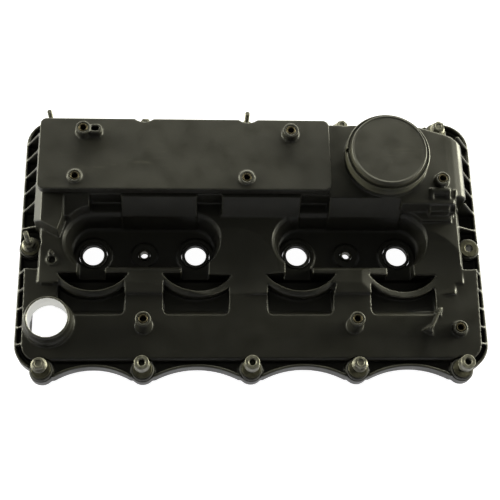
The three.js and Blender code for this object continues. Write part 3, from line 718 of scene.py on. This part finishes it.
def paint_filler_bore_bright(body):
    """The filler neck's inner wall gets its own pale material: painted brightness that stands in
    for the light inside the neck.
    """
    body.data.materials.append(PAINTED_BRIGHT_BORE)
    x, y = FILLER
    low = FILLER_FOOT - 2
    for face in body.data.polygons:
        middle = face.center / MM
        inside = math.hypot(middle.x - x, middle.y - y) < FILLER_BORE + 0.3
        if inside and middle.z > low and abs(face.normal.z) < 0.5:
            face.material_index = 1


# ---------------------------------------------------------------- separator lid and valve
def separator_lid():
    """The lid with its bosses, and dents round the middle rear bolts."""
    outline = rounded_rectangle(LID_LEFT, LID_RIGHT, LID_FRONT, LID_BACK, 6)
    lid = plate("lid_moulding", outline, LID_LOW, LID_TOP)
    left = LID_LEFT + LID_WALL
    right = LID_RIGHT - LID_WALL
    front = LID_FRONT + LID_WALL
    back = LID_BACK - LID_WALL
    cut(lid, block("inside", left, right, front, back, 48, LID_INNER_TOP))
    for x in REAR_BOLTS[1:3]:
        cut(lid, disc("dent", x, BOLT_ROW, LID_DENT, 48, OVER, WIDE_ROUND))
    slot_boss = rounded_rectangle(-154, -141.6, 91.2, 100.8, 3.4)
    join(lid, plate("slot_boss", slot_boss, LID_TOP - 1, 66.5))
    for x, y, r, z in LID_BOSSES:
        foot = max(z - 13, LID_LOW)
        under = LID_TOP - 1
        post = [(0, foot), (r + 1, foot), (r + 1, under), (r + 0.5, under), (r, z), (0, z)]
        join(lid, turned("post", post, x, y))
        cut(lid, disc("hole", x, y, INSERT_HOLE, z - INSERT_DEPTH, z + 1))
    cut(lid, plate("slot", rounded_rectangle(-151.4, -144.2, 93.9, 98.4, 1), LID_TOP + 1, 70))
    return moulded(lid, FINE_VOXEL, passes=5, share=0.5)


def valve_cap():
    profile = [
        (32.6, 61.9),
        (35.6, 61.9),
        (35.6, 69.6),
        (35.4, 70.4),
        (34.9, 70.9),
        (34.4, 71),
        (33.9, 70.9),
        (33.5, 70.7),
        (32.6, 70.7),
        (0, 70.7),
        (0, 68.6),
        (32.6, 68.2),
    ]
    cap = turned("valve_cap_moulding", profile, *VALVE, WIDE_ROUND)
    shade_by_angle(cap, 30)
    return cap


def valve_ring():
    """The valve's retaining ring, grooved on top and notched on the left."""
    x, y = VALVE
    profile = [
        (36, 61.9),
        (38.3, 61.9),
        (38.3, 55),
        (39.8, 55),
        (39.8, 64.2),
        (39.5, 65),
        (38.9, 65.4),
        (38.3, 65.2),
        (38, 64.6),
        (36.9, 64.6),
        (36.6, 65.4),
        (36, 65.4),
    ]
    ring = turned("valve_ring_moulding", profile, x, y, WIDE_ROUND)
    cut(ring, block("notch", x - 43, x - 37.2, y - 1.5, y + 3.2, 61, 67))
    shade_by_angle(ring, 30)
    return ring


def perimeter_gasket():
    bead = copy_of("perimeter_gasket", "gasket_bead", flatten=0.02)
    return bevelled(bead, width=1.2, segments=4, angle=30)


# ---------------------------------------------------------------- seals, sleeves and inserts
def injector_seal(name, x):
    """A rubber ring with two lips on top and a groove in its bore."""
    profile = [
        (10.8, 1.4),
        (13, 1.4),
        (13, 7.9),
        (12.8, 8.6),
        (12.3, 8.9),
        (11.8, 8.6),
        (11.4, 8.5),
        (10.9, 8.9),
        (10.3, 9),
        (10, 8.6),
        (10, 6.7),
        (10.7, 6),
        (10.7, 4.4),
        (10.3, 3.8),
        (10.8, 3.2),
    ]
    seal = turned(name, profile, x, INJECTOR_Y)
    shade_by_angle(seal, 35)
    return seal


def clamp_sleeve(name, x):
    profile = [
        (3.5, 1.7),
        (3.8, 1.4),
        (5.2, 1.4),
        (5.5, 1.7),
        (5.5, 8.6),
        (5.1, 9),
        (4, 9),
        (3.5, 8.5),
    ]
    sleeve = turned(name, profile, x, CLAMP_Y, 64)
    shade_by_angle(sleeve, 30)
    return sleeve


def grommet(name, x, y):
    """A rubber bush with a rounded collar, seated on a bolt boss."""
    profile = [
        (5.1, 2),
        (8.4, 2),
        (8.7, 2.4),
        (8.7, 12.3),
        (10, 12.3),
        (10.4, 12.7),
        (10.4, 14.4),
        (10, 15.1),
        (9.2, 15.5),
        (8.6, 15.3),
        (8.2, 14.9),
        (7.4, 14.8),
        (6.9, 15.2),
        (6.4, 15.6),
        (5.1, 15.6),
    ]
    made = turned(name, profile, x, y, 64)
    shade_by_angle(made, 50)
    return made


def sleeve(name, x, y):
    """The steel sleeve in a grommet, with the collar that the bolt's flange meets."""
    profile = [
        (3.5, 1.5),
        (3.8, 1.2),
        (4.5, 1.2),
        (4.8, 1.5),
        (4.8, 15.9),
        (8.3, 15.9),
        (8.6, 16.1),
        (8.6, 16.6),
        (8.3, 16.9),
        (4.1, 16.9),
        (3.5, 16.4),
    ]
    made = turned(name, profile, x, y, 64)
    shade_by_angle(made, 30)
    return made


def threaded_insert(name, x, y, top):
    """A brass insert with a threaded bore."""
    foot = top - 9
    rim = top + 0.1
    profile = [(2.9, foot), (4.2, foot), (4.2, top - 0.2), (3.9, rim), (3.3, rim)]
    z = top - 0.5
    while z > top - 8:
        profile.append((2.95, z))
        profile.append((3.3, z - 0.5))
        z -= 1
    made = turned(name, profile, x, y, 48)
    shade_by_angle(made, 35)
    return made


# ---------------------------------------------------------------- bolts
def thread(name, x, y, crest, root, low, high, pitch=1.0, sides=36):
    """A rod with a real helical thread, closed at both ends."""
    per_turn = 6
    end_share = 0.25
    steps = int((high - low) / pitch * per_turn)
    points = []
    for i in range(steps + 1):
        z = low + (high - low) * i / steps
        tip = min(1.0, (z - low) / THREAD_END + end_share, (high - z) / THREAD_END + end_share)
        for k in range(sides):
            turn = k / sides
            phase = (z / pitch - turn) % 1
            height = 1 - abs(2 * phase - 1)
            radius = root + (crest - root) * min(1, height * 1.25) * tip
            angle = 2 * math.pi * turn
            points.append((x + radius * math.cos(angle), y + radius * math.sin(angle), z))
    faces = [list(range(sides))[::-1], list(range(steps * sides, (steps + 1) * sides))]
    for i in range(steps):
        for k in range(sides):
            n = (k + 1) % sides
            a = i * sides
            b = a + sides
            faces.append([a + k, a + n, b + n, b + k])
    return piece_from(name, points, faces)


def bolt_thread(x, y, tip, seat):
    return thread("thread", x, y, THREAD_CREST, THREAD_ROOT, tip, seat - 8)


def hexagon_head(x, y, low, high, turn):
    """A hexagon turned by some degrees, chamfered on top, with a shallow dimple."""
    corners = []
    for k in range(6):
        angle = math.radians(60 * k + turn)
        across = HEXAGON_RADIUS * math.cos(angle)
        along = HEXAGON_RADIUS * math.sin(angle)
        corners.append((x + across, y + along))
    head = plate("hexagon", corners, low, high)
    cone = [(0, low - 1), (7, low - 1), (7, high - 0.8), (5.3, high), (0, high)]
    keep(head, turned("chamfer", cone, x, y, 72))
    floor = high - 0.5
    rim = high + 0.2
    cut(head, turned("dimple", [(0, floor), (2.9, floor), (3.5, rim), (0, rim)], x, y, 48))
    return head


def bolt_foot(name, x, y, seat):
    """The flange under the head, and the plain part of the shank."""
    profile = [
        (0, seat - 9),
        (SHANK_RADIUS, seat - 9),
        (SHANK_RADIUS, seat),
        (6.9, seat),
        (7.2, seat + 0.3),
        (7.2, seat + 0.8),
        (6.9, seat + 1.1),
        (5.2, seat + 2.2),
        (0, seat + 2.2),
    ]
    return turned(name, profile, x, y, 72)


def hex_bolt(name, x, y, tip, seat, turn):
    """A flange bolt; seat is the height of its flange's underside."""
    made = bolt_foot(name, x, y, seat)
    join(made, hexagon_head(x, y, seat + 1, seat + 7, turn))
    return join(made, bolt_thread(x, y, tip, seat))


def tapped_bolt(name, x, y, tip, seat, _turn):
    """A bolt with a round head, tapped for a second screw; its head has no turn to show."""
    made = bolt_foot(name, x, y, seat)
    head = [
        (0, seat + 1),
        (7, seat + 1),
        (6.8, seat + 5),
        (6.7, seat + 8.3),
        (6.1, seat + 9),
        (0, seat + 9),
    ]
    join(made, turned("head", head, x, y, 72))
    bore = [(0, seat + 1.6)]
    z = seat + 1.6
    while z < seat + 8:
        bore.append((3.4, z))
        bore.append((2.95, z + 0.5))
        z += 1
    bore += [(3.9, seat + 9.2), (0, seat + 9.2)]
    cut(made, turned("bore", bore, x, y, 48))
    return join(made, bolt_thread(x, y, tip, seat))


def stud_bolt(name, x, y, tip, seat, turn):
    """A bolt with a threaded stud above its hexagon."""
    made = bolt_foot(name, x, y, seat)
    join(made, hexagon_head(x, y, seat + 1, seat + 6.5, turn))
    join(made, disc("neck", x, y, 2, seat + 5, seat + 11, 48))
    join(made, thread("stud", x, y, 2.3, 1.9, seat + 10, STUD_TOP))
    return join(made, bolt_thread(x, y, tip, seat))


# How each bolt is made, how far it is pushed up, and the turn of its head in degrees.
BOLTS = {
    "front_1": (hex_bolt, 13, 8),
    "front_2": (tapped_bolt, 13, 0),
    "front_3": (tapped_bolt, 13, 0),
    "front_4": (hex_bolt, 13, 22),
    "front_5": (tapped_bolt, 13, 0),
    "rear_1": (stud_bolt, 4, 10),
    "rear_2": (hex_bolt, 5.5, 0),
    "rear_3": (stud_bolt, 4, 40),
    "rear_4": (hex_bolt, 5.5, 14),
    "rear_5": (hex_bolt, 5.5, 33),
    "left": (stud_bolt, 4, 5),
}

def fasteners():
    for place, (x, y) in bolt_places().items():
        rubber = grommet(f"grommet_ring_{place}", x, y)
        finished(rubber, RUBBER, "cover", "rubber", f"grommet_{place}")
        collar = sleeve(f"sleeve_tube_{place}", x, y)
        finished(collar, STEEL, "cover", "steel", f"sleeve_{place}")
        if place not in BOLTS:
            continue
        make, lift, turn = BOLTS[place]
        bolt = make(f"bolt_steel_{place}", x, y, BOLT_TIP, SLEEVE_TOP + lift, turn)
        shade_by_angle(bolt, 30)
        finished(bolt, BOLT_STEEL, f"bolt_{place}", "fastener", f"bolt_{place}")


def small_pieces():
    for i, x in enumerate(INJECTORS):
        seal = injector_seal(f"seal_lip_{i + 1}", x)
        finished(seal, RUBBER, "cover", "rubber", f"injector_seal_{i + 1}")
    for i, x in enumerate(CLAMP_BOLTS):
        spacer = clamp_sleeve(f"clamp_tube_{i + 1}", x)
        finished(spacer, STEEL, "cover", "steel", f"clamp_sleeve_{i + 1}")
    names = ["rear_deck", "front_left", "front_right", "front_corner"]
    spots = [(x, y, z) for x, y, _, z, _ in DECK_BOSSES]
    names += ["lid_corner", "lid_left", "lid_middle", "lid_right"]
    spots += [(x, y, z) for x, y, _, z in LID_BOSSES]
    for name, (x, y, z) in zip(names, spots):
        insert = threaded_insert(f"insert_thread_{name}", x, y, z)
        finished(insert, BRASS, "cover", "brass", f"insert_{name}")


# ---------------------------------------------------------------- stage, light and camera
def paper(name, glow):
    """Pale studio paper, lit from within like a light table; the glow fades towards the front."""
    n = Nodes(name)
    tone = n.blend(n.noise(scale=3, detail=3), (0.42, 0.42, 0.48), (0.46, 0.46, 0.52))
    n.link(tone, n.shader.inputs["Base Color"])
    split = n.tree.nodes.new("ShaderNodeSeparateXYZ")
    n.link(n.place, split.inputs["Vector"])
    fade = n.ramp(split.outputs["Y"], FADE_END, FADE_START, 0.0, glow)
    n.link(fade, n.shader.inputs["Emission Strength"])
    n.shader.inputs["Roughness"].default_value = 0.9
    n.shader.inputs["Emission Color"].default_value = (1, 1, 1, 1)
    return n.material


def backdrop():
    """A round floor with a wall that stands all round it."""
    sides = WALL_SIDES
    points = [(0, 0, FLOOR_Z)]
    for height in (FLOOR_Z, WALL_HEIGHT):
        for k in range(sides):
            angle = 2 * math.pi * k / sides
            points.append((WALL_RADIUS * math.cos(angle), WALL_RADIUS * math.sin(angle), height))
    faces = []
    for k in range(sides):
        n = (k + 1) % sides
        faces.append([0, 1 + k, 1 + n])
    for k in range(sides):
        n = (k + 1) % sides
        faces.append([1 + k, 1 + n, 1 + sides + n, 1 + sides + k])
    made = piece_from("backdrop", points, faces)
    made.data.materials.append(paper("table", TABLE_GLOW))
    made.data.materials.append(paper("wall", WALL_GLOW))
    for k in range(sides):
        made.data.polygons[sides + k].material_index = 1


def lamp(name, place, target, size, power):
    """A softbox at a place, turned to its target."""
    data = bpy.data.lights.new(name, "AREA")
    data.shape = "RECTANGLE"
    data.size = size[0]
    data.size_y = size[1]
    data.energy = power
    data.color = WARM
    made = bpy.data.objects.new(name, data)
    made.location = place
    made.rotation_euler = (Vector(target) - Vector(place)).to_track_quat("-Z", "Y").to_euler()
    bpy.context.scene.collection.objects.link(made)


def lights():
    lamp("back_softbox", (0.3, 1.5, 0.4), AIM, size=(2.2, 0.5), power=56)
    lamp("right_softbox", (1.5, 0.5, 0.25), AIM, size=(1.0, 0.3), power=60)
    lamp("left_softbox", (-1.5, 0.5, 0.25), AIM, size=(1.0, 0.3), power=42)
    lamp("top_softbox", (-0.3, 0.1, 1.7), (0, 0, 0), size=(1.0, 1.0), power=0.5)
    world = bpy.data.worlds.new("studio")
    world.use_nodes = True
    sky = world.node_tree.nodes["Background"]
    sky.inputs["Color"].default_value = (1, 1, 0.95, 1)
    sky.inputs["Strength"].default_value = WORLD_GLOW
    bpy.context.scene.world = world
    bpy.context.scene.view_settings.view_transform = "Standard"


def camera():
    """The camera looks at its target with a slight roll."""
    data = bpy.data.cameras.new("camera")
    data.lens = CAMERA_LENS
    data.sensor_width = CAMERA_SENSOR
    made = bpy.data.objects.new("camera", data)
    bpy.context.scene.collection.objects.link(made)
    forward = (CAMERA_TARGET - CAMERA_PLACE).normalized()
    level = forward.cross(Vector((0, 0, 1))).normalized()
    upright = level.cross(forward)
    right = level * math.cos(CAMERA_ROLL) + upright * math.sin(CAMERA_ROLL)
    up = upright * math.cos(CAMERA_ROLL) - level * math.sin(CAMERA_ROLL)
    turn = Matrix((right, up, -forward)).transposed().to_4x4()
    turn.translation = CAMERA_PLACE
    made.matrix_world = turn
    bpy.context.scene.camera = made


# ---------------------------------------------------------------- the scene
camera()
lights()
backdrop()
moulding = finished(cover_body(), MOULDING, "cover", "moulding", "cover_body")
# The filler bore's inner wall gets the pale material: painted brightness.
paint_filler_bore_bright(moulding)
finished(separator_lid(), LID, "cover", "lid", "separator_lid")
finished(valve_cap(), LID, "cover", "lid", "valve_cap")
finished(valve_ring(), MOULDING, "cover", "moulding", "valve_retaining_ring")
finished(perimeter_gasket(), RUBBER, "cover", "rubber", "perimeter_gasket")
small_pieces()
fasteners()
for node, look in {
    "separator_baffle": BAFFLE,
    "valve_diaphragm": RUBBER,
    "valve_plate": STEEL,
    "valve_spring": BOLT_STEEL,
}.items():
    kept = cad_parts[node]
    kept.data.materials.clear()
    kept.data.materials.append(look)
